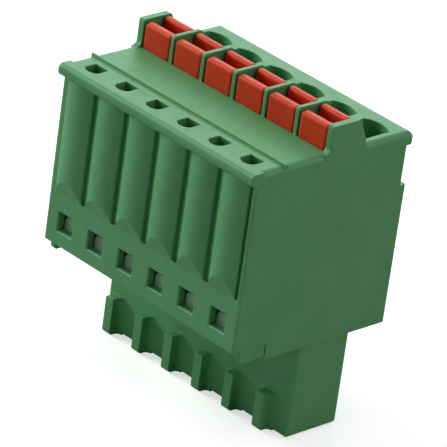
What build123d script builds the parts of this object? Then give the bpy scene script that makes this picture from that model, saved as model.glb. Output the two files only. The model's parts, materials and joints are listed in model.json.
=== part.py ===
"""Pluggable terminal block: a push-in spring plug with one button, contact and spring per pole.

Sizes are in millimetres. The plug stands on the end face of its nose. X runs along the row of
poles, -Y is the face with the round columns and the windows, +Y is the wire entry side, +Z is up.
The origin is the middle of the bounding box, at the end face of the nose.
Depths are measured back from the front face of the corner posts, heights up from the nose end.
"""

import os

from build123d import *

# The row
poles = 6
pitch = 3.5
end_margin = 2.15

# Main heights and depths
nose_length = 8.0
body_height = 16.2
bank_height = 2.25
skirt_drop = 1.25
corner_round = 0.2

# Beads along the top front and top rear edges
lip_reach = 0.64
lip_height = 1.2
lip_under_slope = 0.35
lip_top_round = 0.38
lip_round = 0.44
rear_lip_height = 1.05
rear_lip_round = 0.48
rear_lip_under_round = 0.3
rear_band_depth = 0.64
rear_band_height = 3.4

# Round columns on the front face, and the grooves between them
column_gap = 0.54
column_rise = 0.41
column_proud = 0.06
column_edge_round = 0.22
column_foot = 4.35
column_foot_slope = 1.3
groove_depth = 0.3
post_width = 0.4

# Inspection windows in the band below the columns
window_width = 1.6
window_height = 1.58
window_sill = 1.18
window_bevel = 0.1

# Test holes in the top
test_hole_width = 1.44
test_hole_back = 1.86
test_hole_straight = 1.06
test_hole_arch = 0.4

# Fine bead across the top behind the test holes
ridge_place = 2.8
ridge_width = 0.36
ridge_height = 0.18

# Raised bank that guides the push buttons
end_wall_front = 7.22
end_wall_round = 0.14
end_wall_root = 0.5
divider_front = 7.2
divider_wall = 0.34
divider_round = 0.25
divider_root = 0.06
bank_back_height = 1.45
bank_crest_gap = 0.15
bank_slope_run = 0.95
bank_back_round = 0.25

# Push buttons
button_setback = 0.02
button_depth = 2.63
button_clearance = 0.05
button_below_bank = 0.06
button_round = 0.28
front_land = 0.83
front_land_drop = 0.12
rear_land = 0.7
slot_depth = 1.3
heel_reach = 0.8
heel_height = 0.9
heel_gap = 0.05

# Wire entries behind the bank
entry_width = 2.7
entry_front_gap = 0.15
entry_depth = 3.42
entry_back_wall = 0.83
entry_crown = 0.45
entry_taper = 0.3

# Chambers inside the housing
roof_thickness = 4.5
front_wall = 0.66
back_wall = 1.18
chamber_front = 2.9
test_chamber_height = 2.95

# Base moulding: a flange that closes the housing from below, and the nose that plugs in
flange_thickness = 1.0
flange_clearance = 0.05
skirt_wall = 0.35
rear_skirt_wall = 0.5
notch_depth = 3.4
flange_front = 0.78
flange_chamfer = 0.8
foot_overlap = 0.11
foot_inset = 0.06
foot_chamfer = 0.2
snap_length = 1.2
snap_height = 0.3
snap_reach = 0.14
snap_clearance = 0.04
snap_places = 2
nose_left_margin = 1.65
nose_right_margin = 2.0
nose_front = 7.22
nose_depth = 5.34
nose_round = 0.3
nose_tip_chamfer = 0.25

# Coding ribs on the front of the nose
rib_width = 0.86
rib_reach = 0.96
rib_height = 3.15
rib_round = 0.35
rib_root = 0.4

# Pin sockets in the nose
socket_side_gap = 0.1
socket_end_gap = 0.3
socket_floor = 0.9
pin_opening = 1.2
pin_lead_in = 0.35

# Contacts: one folded strip of tinned copper alloy for each pole
contact_thickness = 0.4
contact_width = 2.2
contact_bend = 0.5
seat_gap = 0.02
side_gap = 0.05
test_tab_width = 1.5
test_tab_height = 2.13
test_tab_round = 0.45
test_tab_foot = 1.4
clamp_bar_height = 8.2
tine_width = 2.0
tine_tip_gap = 0.9
tine_pinch_gap = 0.6
tine_mouth_gap = 1.4
tine_mouth_height = 1.3
tine_taper_height = 3.6

# Clamp springs: one bent strip of stainless steel for each pole
spring_thickness = 0.3
spring_width = 2.3
spring_foot = 4.2
spring_bend = 0.9
spring_head_gap = 0.12
spring_tip_gap = 0.12
spring_tip_drop = 4.4

# Sizes that follow
row_length = (poles - 1) * pitch
body_width = row_length + 2 * end_margin
half_width = body_width / 2
column_width = pitch - column_gap
top = nose_length + body_height
bank_top = top + bank_height
bank_back_top = top + bank_back_height
front_bottom = nose_length + skirt_drop
flange_top = front_bottom - flange_clearance
flange_bottom = flange_top - flange_thickness
roof = top - roof_thickness
bay_width = pitch - divider_wall
button_width = bay_width - 2 * button_clearance
button_front = divider_front + button_setback
button_back = button_front + button_depth
button_top = bank_top - button_below_bank
bank_crest = button_back + button_clearance + bank_crest_gap
bank_foot = bank_crest + bank_slope_run
entry_front = bank_foot + entry_front_gap
entry_back = entry_front + entry_depth
rear_band_face = entry_back + entry_back_wall
body_depth = rear_band_face + rear_band_depth
heel_top = roof - heel_gap
heel_bottom = heel_top - heel_height
column_bottom = front_bottom + column_foot
lip_bottom = top - lip_height
flange_half = half_width - skirt_wall - flange_clearance
flange_back = body_depth - rear_skirt_wall - flange_clearance
nose_left = -row_length / 2 - nose_left_margin
nose_right = row_length / 2 + nose_right_margin
pin_place = nose_front + nose_depth / 2
web_middle = flange_top + seat_gap + contact_thickness / 2
clamp_bar_face = body_depth - back_wall - side_gap - contact_thickness
spring_seat = web_middle + contact_thickness / 2 + seat_gap + spring_thickness / 2
spring_leg = chamber_front + side_gap + spring_thickness / 2
spring_head = heel_bottom - spring_head_gap - spring_thickness / 2
spring_tip = clamp_bar_face - spring_tip_gap - spring_thickness / 2
spring_slope = spring_tip_drop / (spring_tip - button_front)

# Depth zero lies here on the Y axis, so that the bounding box is centred on the origin
front_face = lip_reach - (lip_reach + body_depth) / 2

# How far a cutting tool runs past the face that it opens
past = 1.0

# How much smaller a full rounding is than the side that it takes up
slack = 0.01

# Slope in degrees of every bevelled opening
bevel_angle = 45


def pole_places():
    """X of each pole along the row."""
    return [(number - (poles - 1) / 2) * pitch for number in range(poles)]


def block(x_low, x_high, depth_low, depth_high, low, high):
    """A rectangular block between two X places, two depths and two heights."""
    size = (x_high - x_low, depth_high - depth_low, high - low)
    middle = ((x_low + x_high) / 2, front_face + (depth_low + depth_high) / 2, (low + high) / 2)
    return Pos(*middle) * Box(*size)


def side_face(*points):
    """A face in the YZ plane from (depth, height) corners."""
    return make_face(Polyline(*[(front_face + depth, height) for depth, height in points], close=True))


def across(face, x_low, x_high):
    """A side face carried along X between two places."""
    return Pos(x_low, 0, 0) * extrude(Plane.YZ * face, amount=x_high - x_low)


def folded(path, thickness, bend):
    """Section of a folded metal strip along a path in its own plane."""
    return trace(FilletPolyline(*path, radius=bend), thickness)


def strip(path, thickness, width, bend):
    """A folded metal strip: its (depth, height) path, thickness, width along X and bend radius."""
    placed = [(front_face + depth, height) for depth, height in path]
    return across(folded(placed, thickness, bend), -width / 2, width / 2)


def near(corners, depth, height):
    """The corner of a side face that lies nearest to a depth and a height."""
    target = Vector(front_face + depth, height)
    return min(corners, key=lambda corner: (Vector(corner.X, corner.Y) - target).length)


def body_block():
    """Outer block of the housing, with the rear band and the beads along its top edges."""
    plan = RectangleRounded(body_width, body_depth, corner_round)
    middle = Pos(0, front_face + body_depth / 2, nose_length)
    body = extrude(middle * plan, amount=body_height)
    back_edge = body.edges().filter_by(Axis.X).sort_by(Axis.Z)[-2:].sort_by(Axis.Y)[-1]
    body = fillet(back_edge, rear_lip_round)
    return body - rear_band() + front_lip()


def rear_band():
    """Band cut back across the rear face, which leaves the rounded bead above it."""
    band_top = top - rear_lip_height
    band_bottom = band_top - rear_band_height
    under = band_top + rear_lip_under_round
    cut = side_face(
        (rear_band_face, band_bottom),
        (rear_band_face, band_top),
        (body_depth, band_top),
        (body_depth, under),
        (body_depth + past, under),
        (body_depth + past, band_bottom),
    )
    cut = fillet(near(cut.vertices(), body_depth, band_top), rear_lip_under_round - slack)
    return across(cut, -half_width - past, half_width + past)


def front_lip():
    """Rounded bead along the top front edge."""
    nose_low = lip_bottom + lip_under_slope
    bead = side_face(
        (corner_round + groove_depth, top),
        (-lip_reach, top),
        (-lip_reach, nose_low),
        (0, lip_bottom),
        (corner_round + groove_depth, lip_bottom),
    )
    bead = fillet(near(bead.vertices(), -lip_reach, top), lip_top_round)
    bead = fillet(near(bead.vertices(), -lip_reach, nose_low), lip_round)
    return across(bead, -half_width, half_width)


def columns():
    """Round columns down the front face, cut back at a slope where they meet the band."""
    edge = front_face - column_proud
    back = front_face + groove_depth
    half = column_width / 2
    outline = Polyline((-half, edge), (-half, back), (half, back), (half, edge)) + ThreePointArc(
        (-half, edge), (0, edge - column_rise), (half, edge)
    )
    plan = make_face(outline)
    edges = [corner for corner in plan.vertices() if corner.Y < front_face]
    column = extrude(fillet(edges, column_edge_round), amount=lip_bottom + lip_under_slope - column_bottom)
    run = column_proud + column_rise
    keep = side_face(
        (groove_depth, column_bottom),
        (0, column_bottom),
        (-run, column_bottom + column_foot_slope),
        (-run, top),
        (groove_depth, top),
    )
    column = Pos(0, 0, column_bottom) * column & across(keep, -half, half)
    return [Pos(x, 0, 0) * column for x in pole_places()]


def groove(x_low, x_high):
    """An upright groove in the front face, with a round bottom."""
    tool = block(x_low, x_high, -past, groove_depth, column_bottom, lip_bottom)
    bottom_edges = tool.edges().filter_by(Axis.Y).group_by(Axis.Z)[0]
    return fillet(bottom_edges, (x_high - x_low) / 2 - slack)


def grooves():
    """The grooves at the right of each column, up to the next column or to the corner post."""
    half = column_width / 2
    ends = [x - half for x in pole_places()[1:]] + [half_width - post_width]
    return [groove(x + half, end) for x, end in zip(pole_places(), ends)]


def bank_profile(front, root, front_round):
    """Side face of the bank, from its front edge over the top and down the rear slope."""
    face = side_face(
        (front - root, top - root),
        (front - root, top),
        (front, top),
        (front, bank_top),
        (bank_crest, bank_top),
        (bank_foot, top),
        (bank_foot, top - root),
    )
    face = fillet(near(face.vertices(), bank_crest, bank_top), bank_back_round)
    face = fillet(near(face.vertices(), front, bank_top), front_round)
    return fillet(near(face.vertices(), front, top), root - slack)


def bank():
    """Raised bank: dividers and a low rear wall, between two end walls."""
    ridge = across(bank_profile(divider_front, divider_root, divider_round), -half_width, half_width)
    inner = row_length / 2 + bay_width / 2
    wall = bank_profile(end_wall_front, end_wall_root, end_wall_round)
    return ridge + across(wall, -half_width, -inner) + across(wall, inner, half_width)


def button_bay():
    """Space that one push button slides in, open to the front above the top face."""
    half = bay_width / 2
    front = button_front - button_clearance
    back = button_back + button_clearance
    shaft = block(-half, half, front, back, roof - past, bank_top + past)
    open_front = block(-half, half, end_wall_front - past, back, top, bank_top + past)
    return shaft + open_front + block(-half, half, front, bank_foot, bank_back_top, bank_top + past)


def entry_outline(width, front, back, crown):
    """Plan of a wire entry: a straight front and sides, and an arched back."""
    half = width / 2
    low, high = front_face + front, front_face + back
    arch = ThreePointArc((-half, high - crown), (0, high), (half, high - crown))
    return make_face(Polyline((-half, high - crown), (-half, low), (half, low), (half, high - crown)) + arch)


def wire_entry():
    """Funnel that guides one wire down into the clamp."""
    mouth = entry_outline(entry_width, entry_front, entry_back, entry_crown)
    throat = entry_outline(
        entry_width - 2 * entry_taper, entry_front + entry_taper, entry_back - entry_taper, entry_crown
    )
    lead = loft([Pos(0, 0, top) * mouth, Pos(0, 0, roof) * throat])
    return extrude(Pos(0, 0, top) * mouth, amount=past) + lead + extrude(Pos(0, 0, roof) * throat, amount=-past)


def test_hole():
    """Shaft down to the pocket of the test tab: square at the back and arched at the front."""
    half = test_hole_width / 2
    back = front_face + test_hole_back
    front = back - test_hole_straight
    arch = ThreePointArc((half, front), (0, front - test_hole_arch), (-half, front))
    plan = make_face(Polyline((-half, front), (-half, back), (half, back), (half, front)) + arch)
    low = front_bottom + test_chamber_height
    return Pos(0, 0, low) * extrude(plan, amount=top + past - low)


def chamber():
    """Chamber for one contact and its spring, with a front pocket for the test tab."""
    half = bay_width / 2
    back = body_depth - back_wall
    main = block(-half, half, chamber_front, back, front_bottom - past, roof)
    pocket_top = front_bottom + test_chamber_height
    return main + block(-half, half, front_wall, chamber_front + past, front_bottom - past, pocket_top)


def window():
    """Inspection window through the front wall, with a bevel round its outer edge."""
    half = window_width / 2
    low = front_bottom + window_sill
    opening = block(-half, half, -past, front_wall + past, low, low + window_height)
    plan = Plane(origin=(0, front_face, low + window_height / 2), x_dir=(1, 0, 0), z_dir=(0, 1, 0))
    wide = Rectangle(window_width + 2 * window_bevel, window_height + 2 * window_bevel)
    return opening + extrude(plan * wide, amount=window_bevel, taper=bevel_angle)


def ridge_bead():
    """Fine bead across the top behind the test holes."""
    half = ridge_width / 2
    bead = side_face(
        (ridge_place - half, top - ridge_height),
        (ridge_place - half, top + ridge_height),
        (ridge_place, top + ridge_height),
        (ridge_place + half, top),
        (ridge_place + half, top - ridge_height),
    )
    return across(bead, -half_width, half_width)


def skirt_cut():
    """Space for the base's flange, the notches at the front corners, and the snap pockets."""
    inner = half_width - skirt_wall
    low = nose_length - past
    seat = block(-inner, inner, -past, body_depth - rear_skirt_wall, low, front_bottom)
    notch = block(-half_width - past, half_width + past, -past, notch_depth, low, front_bottom)
    return seat + notch + snaps(snap_clearance)


def snaps(clearance):
    """Snap nibs on the flange's ends, or with a clearance the pockets that take them."""
    reach = flange_half + snap_reach + clearance
    run = (flange_back - notch_depth) / (snap_places + 1)
    middle = flange_bottom + flange_thickness / 2
    half_length = snap_length / 2 + clearance
    half_height = snap_height / 2 + clearance
    nibs = [
        block(-reach, reach, place - half_length, place + half_length, middle - half_height, middle + half_height)
        for place in [notch_depth + run * (number + 1) for number in range(snap_places)]
    ]
    return Compound(nibs)


def housing():
    """Upper moulding: body, columns, bank, and everything that opens into the chambers."""
    body = body_block() + bank() + ridge_bead()
    body -= skirt_cut()
    body -= grooves()
    body += columns()
    tools = [button_bay(), wire_entry(), test_hole(), chamber(), window()]
    for x in pole_places():
        body -= [Pos(x, 0, 0) * tool for tool in tools]
    return body


def flange():
    """Plate that closes the housing, with a sloped front edge and snap nibs on its ends."""
    plate = side_face(
        (flange_front, flange_top),
        (flange_front, flange_bottom + flange_chamfer),
        (flange_front + flange_chamfer, flange_bottom),
        (flange_back, flange_bottom),
        (flange_back, flange_top),
    )
    return across(plate, -flange_half, flange_half) + snaps(0)


def feet():
    """A foot at each front corner of the flange, in the notch of the housing's skirt."""
    foot = side_face(
        (flange_front, flange_top),
        (flange_front, flange_bottom + foot_chamfer),
        (flange_front + foot_chamfer, flange_bottom),
        (notch_depth - flange_clearance, flange_bottom),
        (notch_depth - flange_clearance, flange_top),
    )
    outer = half_width - foot_inset
    inner = flange_half - foot_overlap
    return across(foot, -outer, -inner) + across(foot, inner, outer)


def nose():
    """Nose that plugs into the header, joined to the flange by a neck inside the skirt."""
    shoulder = nose_length - flange_clearance
    tip = block(nose_left, nose_right, nose_front, nose_front + nose_depth, 0, shoulder)
    tip = fillet(tip.edges().filter_by(Axis.Z), nose_round)
    tip = chamfer(tip.faces().sort_by(Axis.Z)[0].edges(), nose_tip_chamfer)
    neck_right = min(nose_right, flange_half)
    neck_left = max(nose_left, -flange_half)
    inset = nose_round
    neck = block(
        neck_left + inset,
        neck_right - inset,
        nose_front + inset,
        nose_front + nose_depth - inset,
        shoulder - past,
        flange_top,
    )
    return tip + neck


def coding_rib():
    """One coding rib, whose right side lines up with its pole and flares into the nose."""
    front = front_face + nose_front
    flare = RadiusArc((0, front - rib_root), (rib_root, front), rib_root)
    outline = Polyline(
        (rib_root, front),
        (rib_root, front + nose_round),
        (-rib_width, front + nose_round),
        (-rib_width, front - rib_reach),
        (0, front - rib_reach),
        (0, front - rib_root),
    )
    rib = extrude(make_face(outline + flare), amount=rib_height)
    front_edges = rib.edges().filter_by(Axis.X).group_by(Axis.Y)[0]
    return fillet(front_edges.sort_by(Axis.Z)[0], rib_round)


def pin_socket():
    """Chamber for one pair of contact tines, with a square pin opening at its bottom."""
    half = contact_width / 2 + socket_side_gap
    half_depth = tine_width / 2 + socket_end_gap
    room = block(-half, half, pin_place - half_depth, pin_place + half_depth, socket_floor, flange_top + past)
    half_pin = pin_opening / 2
    hole = block(-half_pin, half_pin, pin_place - half_pin, pin_place + half_pin, -past, socket_floor + past)
    mouth = Rectangle(pin_opening + 2 * pin_lead_in, pin_opening + 2 * pin_lead_in)
    lead_in = extrude(Pos(0, front_face + pin_place, 0) * mouth, amount=pin_lead_in, taper=bevel_angle)
    return room + hole + lead_in


def plug_base():
    """Lower moulding: flange, nose, coding ribs and pin sockets."""
    base = flange() + feet() + nose()
    rib, socket = coding_rib(), pin_socket()
    base += [Pos(x, 0, 0) * rib for x in pole_places()]
    base -= [Pos(x, 0, 0) * socket for x in pole_places()]
    return base


def push_button():
    """Push button: a slotted head, a stem, a heel that stops it under the roof, a sloped foot."""
    slot_front = button_front + front_land
    slot_back = button_back - rear_land
    slot_bottom = button_top - slot_depth
    foot_back = heel_bottom - spring_slope * button_depth
    profile = side_face(
        (button_front, heel_top),
        (button_front, button_top - front_land_drop),
        (slot_front, button_top - front_land_drop),
        (slot_front, slot_bottom),
        (slot_back, slot_bottom),
        (slot_back, button_top),
        (button_back, button_top),
        (button_back, foot_back),
        (button_front, heel_bottom),
        (button_front - heel_reach, heel_bottom),
        (button_front - heel_reach, heel_top),
    )
    button = across(profile, -button_width / 2, button_width / 2)
    lands = button.faces().sort_by(Axis.Z)[-2:].edges()
    uprights = button.edges().filter_by(Axis.Z).filter_by(lambda edge: edge.center().Z > heel_top)
    corners = uprights.filter_by(lambda edge: edge.length > slot_depth)
    return fillet(lands + corners, button_round)


def contact():
    """Folded strip: test tab at the front, web, clamp bar at the back, and the socket tines."""
    half = contact_thickness / 2
    tab_place = front_wall + side_gap + half
    tab_top = web_middle + test_tab_height
    tab = strip(
        [(tab_place, tab_top), (tab_place, web_middle), (tab_place + 2 * test_tab_foot, web_middle)],
        contact_thickness,
        test_tab_width,
        contact_bend,
    )
    tab = fillet(tab.edges().filter_by(Axis.Y).group_by(Axis.Z)[-1], test_tab_round)
    bar_place = clamp_bar_face + half
    bar = strip(
        [
            (tab_place + test_tab_foot, web_middle),
            (bar_place, web_middle),
            (bar_place, web_middle + clamp_bar_height),
        ],
        contact_thickness,
        contact_width,
        contact_bend,
    )
    return tab + bar + tines()


def tines():
    """Two socket tines folded down from the web's sides: they close to a pinch, then open again."""
    half = contact_thickness / 2
    root = contact_width / 2 - half
    mouth = tine_mouth_gap / 2 + half
    pinch = tine_pinch_gap / 2 + half
    low = socket_floor + tine_tip_gap
    left = [
        (-mouth, low),
        (-pinch, low + tine_mouth_height),
        (-root, low + tine_mouth_height + tine_taper_height),
        (-root, web_middle),
    ]
    right = [(-x, height) for x, height in reversed(left)]
    section = Plane.XZ * folded(left + right, contact_thickness, contact_bend)
    return Pos(0, front_face + pin_place, 0) * extrude(section, amount=tine_width / 2, both=True)


def clamp_spring():
    """Bent strip: a foot on the web, a leg up the front wall, and a sloped leg to the clamp bar."""
    rising = [(spring_leg + spring_foot, spring_seat), (spring_leg, spring_seat), (spring_leg, spring_head)]
    falling = [(button_front, spring_head), (spring_tip, spring_head - spring_tip_drop)]
    return strip(rising + falling, spring_thickness, spring_width, spring_bend)


def named_parts():
    """Every piece by name, each in its place."""
    parts = {"housing": housing(), "plug_base": plug_base()}
    repeated = {"button": push_button(), "contact": contact(), "clamp_spring": clamp_spring()}
    for name, shape in repeated.items():
        for number, x in enumerate(pole_places(), start=1):
            parts[f"{name}_{number}"] = Pos(x, 0, 0) * shape
    return parts


def main():
    """Write one STEP file for each piece."""
    os.makedirs("parts", exist_ok=True)
    for name, shape in named_parts().items():
        export_step(shape, f"parts/{name}.step")


main()
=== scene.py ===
"""Dresses the pluggable terminal block: its finishes, soft studio light and the photograph's camera.

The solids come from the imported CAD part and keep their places. Each class below dresses one
sub-assembly of the plug, and main() builds them in order. Lengths are in metres, or in millimetres
where a name ends in mm, and angles are in degrees.
"""

import json
import logging
import math
from dataclasses import dataclass
from enum import Enum

import bpy
from mathutils import Matrix, Vector


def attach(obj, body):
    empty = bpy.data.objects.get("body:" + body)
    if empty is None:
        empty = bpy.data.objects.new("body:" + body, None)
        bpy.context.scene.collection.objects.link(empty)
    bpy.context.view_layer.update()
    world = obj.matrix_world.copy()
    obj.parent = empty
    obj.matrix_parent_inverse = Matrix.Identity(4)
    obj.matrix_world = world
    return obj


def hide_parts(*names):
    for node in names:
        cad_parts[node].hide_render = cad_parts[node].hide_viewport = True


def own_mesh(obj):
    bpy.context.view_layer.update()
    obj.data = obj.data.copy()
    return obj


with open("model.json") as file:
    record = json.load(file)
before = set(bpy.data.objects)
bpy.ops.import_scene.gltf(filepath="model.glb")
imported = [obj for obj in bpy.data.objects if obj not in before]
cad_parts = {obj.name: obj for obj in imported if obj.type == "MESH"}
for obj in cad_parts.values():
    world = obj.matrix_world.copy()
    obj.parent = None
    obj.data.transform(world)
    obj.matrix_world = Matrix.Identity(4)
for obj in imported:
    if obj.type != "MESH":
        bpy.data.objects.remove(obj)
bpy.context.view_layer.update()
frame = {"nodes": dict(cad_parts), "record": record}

log = logging.getLogger("terminal_block")

MM = 0.001

# Numbers of the colour inputs and of the colour output on Blender's Mix node, whose names repeat.
MIX_FIRST = 6
MIX_SECOND = 7
MIX_RESULT = 2


class Piece(Enum):
    """CAD nodes that are dressed in place; one that every pole has is named by the stem of its nodes."""

    HOUSING = "housing"
    BASE = "plug_base"
    BUTTON = "button"
    CONTACT = "contact"


def linear(colour: str) -> tuple[float, float, float, float]:
    """Turn an sRGB hex colour to a linear colour with full alpha.

    Args:
        colour: six hex digits, with or without a leading hash.

    Returns:
        Red, green, blue and alpha, linear.
    """
    digits = colour.lstrip("#")
    channels = [int(digits[i : i + 2], 16) / 255 for i in (0, 2, 4)]
    return (*(c / 12.92 if c <= 0.04045 else ((c + 0.055) / 1.055) ** 2.4 for c in channels), 1.0)


def add_node(
    tree: bpy.types.NodeTree,
    kind: str,
    settings: dict | None = None,
    values: dict | None = None,
    links: dict | None = None,
) -> bpy.types.Node:
    """Add one node with its settings, constants and incoming links.

    Args:
        tree: the node tree that takes the node.
        kind: Blender's type name of the node.
        settings: attributes of the node by name.
        values: constants by input socket name or number.
        links: output sockets by the input socket name or number that they feed.

    Returns:
        The new node.
    """
    node = tree.nodes.new(kind)
    for name, value in (settings or {}).items():
        setattr(node, name, value)
    for socket, value in (values or {}).items():
        node.inputs[socket].default_value = value
    for socket, source in (links or {}).items():
        tree.links.new(source, node.inputs[socket])
    return node


def new_material(name: str) -> tuple[bpy.types.Material, bpy.types.NodeTree]:
    """Make an empty node material.

    Args:
        name: the material's name.

    Returns:
        The material and its empty node tree.
    """
    material = bpy.data.materials.new(name)
    material.use_nodes = True
    material.node_tree.nodes.clear()
    return material, material.node_tree


@dataclass(frozen=True)
class MouldedPolyamide:
    """Polyamide 66, injection moulded in a fine spark-eroded tool.

    It looks satin, with a soft broad highlight, faint cloudy flow marks and a barely visible grain.
    Its edges are never quite sharp, so each one carries a thin line of light. The pigment lies close
    under the surface, so highlights take a little of its colour. The real grain is too fine for the
    render, so grain_mm draws it coarser.
    """

    name: str
    colour: str
    cloudy: str
    deep: str
    highlight: str
    ior: float = 1.53
    roughness: float = 0.45
    smoother: float = 0.05
    rougher: float = 0.07
    edge_mm: float = 0.12
    edge_samples: int = 6
    flow_mm: float = 5.0
    mottle_mm: float = 1.1
    speck_strength: float = 0.35
    grain_mm: float = 0.16
    grain_height_mm: float = 0.004
    grain_strength: float = 0.6

    def build(self) -> bpy.types.Material:
        """Build the material.

        Returns:
            The finished material.
        """
        material, tree = new_material(self.name)
        place = add_node(tree, "ShaderNodeTexCoord").outputs["Object"]
        mottle = add_node(
            tree,
            "ShaderNodeTexNoise",
            values={"Scale": 1 / (self.mottle_mm * MM), "Detail": 4.0, "Roughness": 0.6},
            links={"Vector": place},
        ).outputs["Fac"]
        sheen = add_node(
            tree,
            "ShaderNodeMapRange",
            values={
                "From Min": 0.3,
                "From Max": 0.7,
                "To Min": self.roughness - self.smoother,
                "To Max": self.roughness + self.rougher,
            },
            links={"Value": mottle},
        )
        shader = add_node(
            tree,
            "ShaderNodeBsdfPrincipled",
            values={"IOR": self.ior, "Specular Tint": linear(self.highlight)},
            links={
                "Base Color": self.pigment(tree, place, mottle),
                "Roughness": sheen.outputs["Result"],
                "Normal": self.moulded_skin(tree, place),
            },
        )
        add_node(tree, "ShaderNodeOutputMaterial", links={"Surface": shader.outputs["BSDF"]})
        return material

    def pigment(
        self, tree: bpy.types.NodeTree, place: bpy.types.NodeSocket, mottle: bpy.types.NodeSocket
    ) -> bpy.types.NodeSocket:
        """Colour the plastic, with flow clouds and darker specks in it.

        Args:
            tree: the material's node tree.
            place: coordinates for the clouds.
            mottle: the fine pattern whose peaks turn to specks.

        Returns:
            The colour.
        """
        flow = add_node(
            tree,
            "ShaderNodeTexNoise",
            values={
                "Scale": 1 / (self.flow_mm * MM),
                "Detail": 3.0,
                "Roughness": 0.55,
                "Distortion": 0.6,
            },
            links={"Vector": place},
        )
        cloud = add_node(
            tree,
            "ShaderNodeMapRange",
            values={"From Min": 0.35, "From Max": 0.7},
            links={"Value": flow.outputs["Fac"]},
        )
        clouded = add_node(
            tree,
            "ShaderNodeMix",
            settings={"data_type": "RGBA"},
            values={MIX_FIRST: linear(self.colour), MIX_SECOND: linear(self.cloudy)},
            links={"Factor": cloud.outputs["Result"]},
        )
        speck = add_node(
            tree,
            "ShaderNodeMapRange",
            values={"From Min": 0.55, "From Max": 0.8, "To Max": self.speck_strength},
            links={"Value": mottle},
        )
        speckled = add_node(
            tree,
            "ShaderNodeMix",
            settings={"data_type": "RGBA"},
            values={MIX_SECOND: linear(self.deep)},
            links={"Factor": speck.outputs["Result"], MIX_FIRST: clouded.outputs[MIX_RESULT]},
        )
        return speckled.outputs[MIX_RESULT]

    def moulded_skin(
        self, tree: bpy.types.NodeTree, place: bpy.types.NodeSocket
    ) -> bpy.types.NodeSocket:
        """Soften the edges and lay the tool's grain over the surface.

        Args:
            tree: the material's node tree.
            place: coordinates for the grain.

        Returns:
            The surface normal.
        """
        edge = add_node(
            tree,
            "ShaderNodeBevel",
            settings={"samples": self.edge_samples},
            values={"Radius": self.edge_mm * MM},
        )
        grain = add_node(
            tree,
            "ShaderNodeTexNoise",
            values={"Scale": 1 / (self.grain_mm * MM), "Detail": 2.0, "Roughness": 0.5},
            links={"Vector": place},
        )
        bump = add_node(
            tree,
            "ShaderNodeBump",
            values={"Strength": self.grain_strength, "Distance": self.grain_height_mm * MM},
            links={"Height": grain.outputs["Fac"], "Normal": edge.outputs["Normal"]},
        )
        return bump.outputs["Normal"]


@dataclass(frozen=True)
class MetalStrip:
    """Cold rolled metal strip, stamped and bent, with a fine grain along the rolling direction.

    It looks grey and satin, with short streaks in its highlights. The streaks run along the strip's
    length, and stretch is their length over their width. Real rolling marks are too fine for the
    render, so streak_mm draws them coarser.
    """

    name: str
    colour: str
    dull: str
    roughness: float
    smoother: float = 0.08
    rougher: float = 0.1
    cloud_mm: float = 0.9
    streak_mm: float = 0.12
    stretch: float = 12.0
    streak_height_mm: float = 0.002
    streak_strength: float = 0.3

    def build(self) -> bpy.types.Material:
        """Build the material.

        Returns:
            The finished material.
        """
        material, tree = new_material(self.name)
        place = add_node(tree, "ShaderNodeTexCoord").outputs["Object"]
        rolled = add_node(
            tree,
            "ShaderNodeMapping",
            values={"Scale": (self.stretch, 1.0, 1.0)},
            links={"Vector": place},
        )
        streak = add_node(
            tree,
            "ShaderNodeTexNoise",
            values={"Scale": 1 / (self.streak_mm * self.stretch * MM), "Detail": 2.0},
            links={"Vector": rolled.outputs["Vector"]},
        )
        cloud = add_node(
            tree,
            "ShaderNodeTexNoise",
            values={"Scale": 1 / (self.cloud_mm * MM), "Detail": 3.0},
            links={"Vector": place},
        )
        clouded = add_node(
            tree,
            "ShaderNodeMix",
            settings={"data_type": "RGBA"},
            values={MIX_FIRST: linear(self.colour), MIX_SECOND: linear(self.dull)},
            links={"Factor": cloud.outputs["Fac"]},
        )
        sheen = add_node(
            tree,
            "ShaderNodeMapRange",
            values={
                "To Min": self.roughness - self.smoother,
                "To Max": self.roughness + self.rougher,
            },
            links={"Value": streak.outputs["Fac"]},
        )
        bump = add_node(
            tree,
            "ShaderNodeBump",
            values={"Strength": self.streak_strength, "Distance": self.streak_height_mm * MM},
            links={"Height": streak.outputs["Fac"]},
        )
        shader = add_node(
            tree,
            "ShaderNodeBsdfPrincipled",
            values={"Metallic": 1.0},
            links={
                "Base Color": clouded.outputs[MIX_RESULT],
                "Roughness": sheen.outputs["Result"],
                "Normal": bump.outputs["Normal"],
            },
        )
        add_node(tree, "ShaderNodeOutputMaterial", links={"Surface": shader.outputs["BSDF"]})
        return material


# Housing and base: a calm mid green that goes pale and slightly cool in its highlights.
GREEN_POLYAMIDE = MouldedPolyamide(
    "moulded_green_polyamide", "#559A61", "#5CA169", "#4A8A56", highlight="#D0FFE2"
)
# Buttons: a strong orange-red that stands out from the green, with warm highlights.
ORANGE_POLYAMIDE = MouldedPolyamide(
    "moulded_orange_polyamide", "#DC3413", "#E23E1A", "#C82B0E", highlight="#FFC49C"
)
# Contacts: dull tin, painted darker and greener: the painted shade and green light of its chamber.
TIN_PLATE_PAINTED_SHADE = MetalStrip("tin_plated_copper_alloy", "#90AE96", "#7B967F", 0.5)
# Clamp springs: a warmer and shinier grey than the tin.
SPRING_STEEL = MetalStrip("rolled_stainless_spring_strip", "#B4B2AC", "#9A9892", 0.3)


def dress(node: str, material: bpy.types.Material) -> None:
    """Give a CAD node its finish.

    Args:
        node: the node's name.
        material: the material for all its faces.
    """
    shown = frame["nodes"][node]
    shown.data.materials.clear()
    shown.data.materials.append(material)


@dataclass
class Mouldings:
    """The two green mouldings: housing and base."""

    pieces: tuple[Piece, ...] = (Piece.HOUSING, Piece.BASE)
    finish: MouldedPolyamide = GREEN_POLYAMIDE

    def build(self) -> list[str]:
        """Dress both mouldings.

        Returns:
            The names of the pieces.
        """
        material = self.finish.build()
        names = [piece.value for piece in self.pieces]
        for name in names:
            dress(name, material)
        return names


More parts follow.
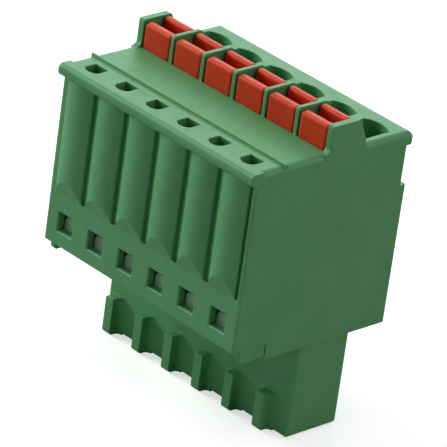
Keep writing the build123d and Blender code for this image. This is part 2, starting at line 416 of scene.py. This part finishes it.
@dataclass
class PoleParts:
    """One kind of piece that is repeated at every pole."""

    piece: Piece
    finish: MouldedPolyamide | MetalStrip
    poles: int = 6

    def build(self) -> list[str]:
        """Dress the piece at each pole.

        Returns:
            The names of the pieces.
        """
        material = self.finish.build()
        names = [f"{self.piece.value}_{pole}" for pole in range(1, self.poles + 1)]
        for name in names:
            dress(name, material)
        return names


@dataclass
class ClampSprings:
    """The bent strips under the buttons.

    Each one stands in for the clamp spring of its pole and is attached to the plug's body.
    """

    finish: MetalStrip = SPRING_STEEL
    body: str = "plug"

    def build(self) -> list[str]:
        """Add a strip in place of the spring under every button's joint.

        Returns:
            The names of the strips.
        """
        material = self.finish.build()
        joints = frame["record"]["behaviour"]["joints"]
        return [self.flexing_strip(joint, material).name for joint in joints]

    def flexing_strip(self, joint: dict, material: bpy.types.Material) -> bpy.types.Object:
        """Copy one spring, give it its finish and put it on the body in place of the hidden original.

        Args:
            joint: the record's joint of the button above the spring.
            material: the strip's finish.

        Returns:
            The strip, riding on the body that holds its foot.
        """
        bent = joint["deforming_nodes"][0]
        node, foot = bent["node"], bent["fixed_end_z_m"]
        strip = bpy.data.objects.new(f"flexing_{node}", frame["nodes"][node].data.copy())
        bpy.context.scene.collection.objects.link(strip)
        strip.data.materials.clear()
        strip.data.materials.append(material)
        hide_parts(node)
        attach(strip, self.body)
        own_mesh(strip)
        return strip


@dataclass(frozen=True)
class SoftBox:
    """One square lamp: its place, its side, its power in watts, its colour and the point it faces."""

    name: str
    place: tuple[float, float, float]
    side: float
    power: float
    colour: str = "#FFFFFF"
    aim: tuple[float, float, float] = (0.0, 0.0, 0.013)

    def build(self) -> str:
        """Add the lamp.

        Returns:
            The lamp's name.
        """
        data = bpy.data.lights.new(self.name, "AREA")
        data.size = self.side
        data.energy = self.power
        data.color = linear(self.colour)[:3]
        lamp = bpy.data.objects.new(self.name, data)
        lamp.location = self.place
        facing = Vector(self.aim) - Vector(self.place)
        lamp.rotation_euler = facing.to_track_quat("-Z", "Y").to_euler()
        bpy.context.scene.collection.objects.link(lamp)
        return lamp.name


# The key lamp grazes the columns from the left, and the fill lights the right side face. The backdrop
# and overhead lamps light the top, and the front lamp lifts the shade between the columns.
KEY = SoftBox("key_softbox", (-0.46, -0.12, 0.2), 0.2, 2.08)
FILL = SoftBox("fill_softbox", (0.5, 0.12, 0.2), 0.35, 0.8, "#FFECEE")
BACKDROP = SoftBox("backdrop_softbox", (-0.4, 0.42, 0.28), 0.4, 0.95, "#EEFFF8")
OVERHEAD = SoftBox("overhead_softbox", (0.0, 0.05, 0.6), 0.5, 1.1, "#F6F8FF")
FRONT = SoftBox("front_softbox", (-0.1, -0.55, 0.06), 0.3, 0.5)


@dataclass
class Studio:
    """Pale floor, white surroundings and five soft lamps.

    The floor lies just under the nose's end face, so that the two don't share a plane. The camera
    sees it in floor_colour with a glow that makes it white, and the plug gets light back from it in
    bounce_colour.
    """

    floor_half: float = 2.0
    floor_level: float = -0.01 * MM
    floor_colour: str = "#F4F4F4"
    bounce_colour: str = "#C4C4C4"
    floor_glow: float = 0.62
    white: str = "#FFFFFF"
    lamps: tuple[SoftBox, ...] = (KEY, FILL, BACKDROP, OVERHEAD, FRONT)

    def build(self) -> list[str]:
        """Build the surroundings, the floor and the lamps.

        Returns:
            Their names.
        """
        return [self.surroundings(), self.floor(), *(lamp.build() for lamp in self.lamps)]

    def surroundings(self) -> str:
        """Make the world white where it is seen, straight or in a surface; the lamps give the light.

        Returns:
            The world's name.
        """
        world = bpy.data.worlds.new("studio_world")
        bpy.context.scene.world = world
        world.use_nodes = True
        tree = world.node_tree
        tree.nodes.clear()
        ray = add_node(tree, "ShaderNodeLightPath")
        straight = add_node(
            tree,
            "ShaderNodeMath",
            settings={"operation": "MAXIMUM"},
            links={0: ray.outputs["Is Camera Ray"], 1: ray.outputs["Is Transmission Ray"]},
        )
        seen = add_node(
            tree,
            "ShaderNodeMath",
            settings={"operation": "MAXIMUM"},
            links={0: straight.outputs[0], 1: ray.outputs["Is Glossy Ray"]},
        )
        backdrop = add_node(
            tree,
            "ShaderNodeBackground",
            values={"Color": linear(self.white)},
            links={"Strength": seen.outputs[0]},
        )
        add_node(tree, "ShaderNodeOutputWorld", links={"Surface": backdrop.outputs[0]})
        return world.name

    def floor(self) -> str:
        """Make the floor: white where the camera sees it lit, and mid grey to the plug's underside.

        Returns:
            The floor's name.
        """
        half, level = self.floor_half, self.floor_level
        mesh = bpy.data.meshes.new("studio_floor")
        corners = [(-half, -half, level), (half, -half, level), (half, half, level), (-half, half, level)]
        mesh.from_pydata(corners, [], [(0, 1, 2, 3)])
        floor = bpy.data.objects.new("studio_floor", mesh)
        bpy.context.scene.collection.objects.link(floor)
        mesh.materials.append(self.floor_paint())
        return floor.name

    def floor_paint(self) -> bpy.types.Material:
        """Mix the floor's paint: matt, and lifted to white for the camera alone.

        Returns:
            The floor's material.
        """
        material, tree = new_material("painted_studio_floor")
        ray = add_node(tree, "ShaderNodeLightPath")
        paint = add_node(tree, "ShaderNodeBsdfDiffuse", values={"Color": linear(self.floor_colour)})
        bounce = add_node(tree, "ShaderNodeBsdfDiffuse", values={"Color": linear(self.bounce_colour)})
        glow = add_node(
            tree,
            "ShaderNodeEmission",
            values={"Color": linear(self.white), "Strength": self.floor_glow},
        )
        lit = add_node(tree, "ShaderNodeAddShader", links={0: paint.outputs[0], 1: glow.outputs[0]})
        mix = add_node(
            tree,
            "ShaderNodeMixShader",
            links={0: ray.outputs["Is Camera Ray"], 1: bounce.outputs[0], 2: lit.outputs[0]},
        )
        add_node(tree, "ShaderNodeOutputMaterial", links={"Surface": mix.outputs[0]})
        return material


@dataclass
class PhotoCamera:
    """Camera at the photograph's viewing angle, fitted to the plug's corners and pole spacing.

    It stands at distance_mm from target_mm. The lens follows from focal_px, its focal length in
    pixels of a photograph that is frame_px wide, and sensor_mm.
    """

    target_mm: tuple[float, float, float] = (5.838, -5.454, 17.412)
    azimuth: float = 44.034
    elevation: float = 25.770
    roll: float = -8.138
    distance_mm: float = 336.0
    focal_px: float = 4513.82
    frame_px: float = 447.0
    sensor_mm: float = 36.0
    nearest: float = 0.01

    def build(self) -> list[str]:
        """Create the camera and make it the scene's camera.

        Returns:
            The camera's name, in a list.
        """
        data = bpy.data.cameras.new("photo_camera")
        data.sensor_fit = "HORIZONTAL"
        data.sensor_width = self.sensor_mm
        data.lens = self.focal_px / self.frame_px * self.sensor_mm
        data.clip_start = self.nearest
        azimuth, elevation = math.radians(self.azimuth), math.radians(self.elevation)
        back = Vector(
            (
                math.sin(azimuth) * math.cos(elevation),
                -math.cos(azimuth) * math.cos(elevation),
                math.sin(elevation),
            )
        )
        place = Vector(self.target_mm) * MM + back * self.distance_mm * MM
        upright = back.to_track_quat("Z", "Y").to_matrix().to_4x4()
        turn = Matrix.Rotation(-math.radians(self.roll), 4, "Z")
        camera = bpy.data.objects.new("photo_camera", data)
        camera.matrix_world = Matrix.Translation(place) @ upright @ turn
        bpy.context.scene.collection.objects.link(camera)
        bpy.context.scene.camera = camera
        return [camera.name]


def main() -> None:
    """Dress the plug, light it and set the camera."""
    logging.basicConfig(level=logging.INFO, format="%(name)s: %(message)s")
    bpy.context.scene.view_settings.view_transform = "Standard"
    assemblies = (
        Mouldings(),
        PoleParts(Piece.BUTTON, ORANGE_POLYAMIDE),
        PoleParts(Piece.CONTACT, TIN_PLATE_PAINTED_SHADE),
        ClampSprings(),
        Studio(),
        PhotoCamera(),
    )
    for assembly in assemblies:
        for name in assembly.build():
            log.info("built %s", name)


if __name__ == "__main__":
    main()
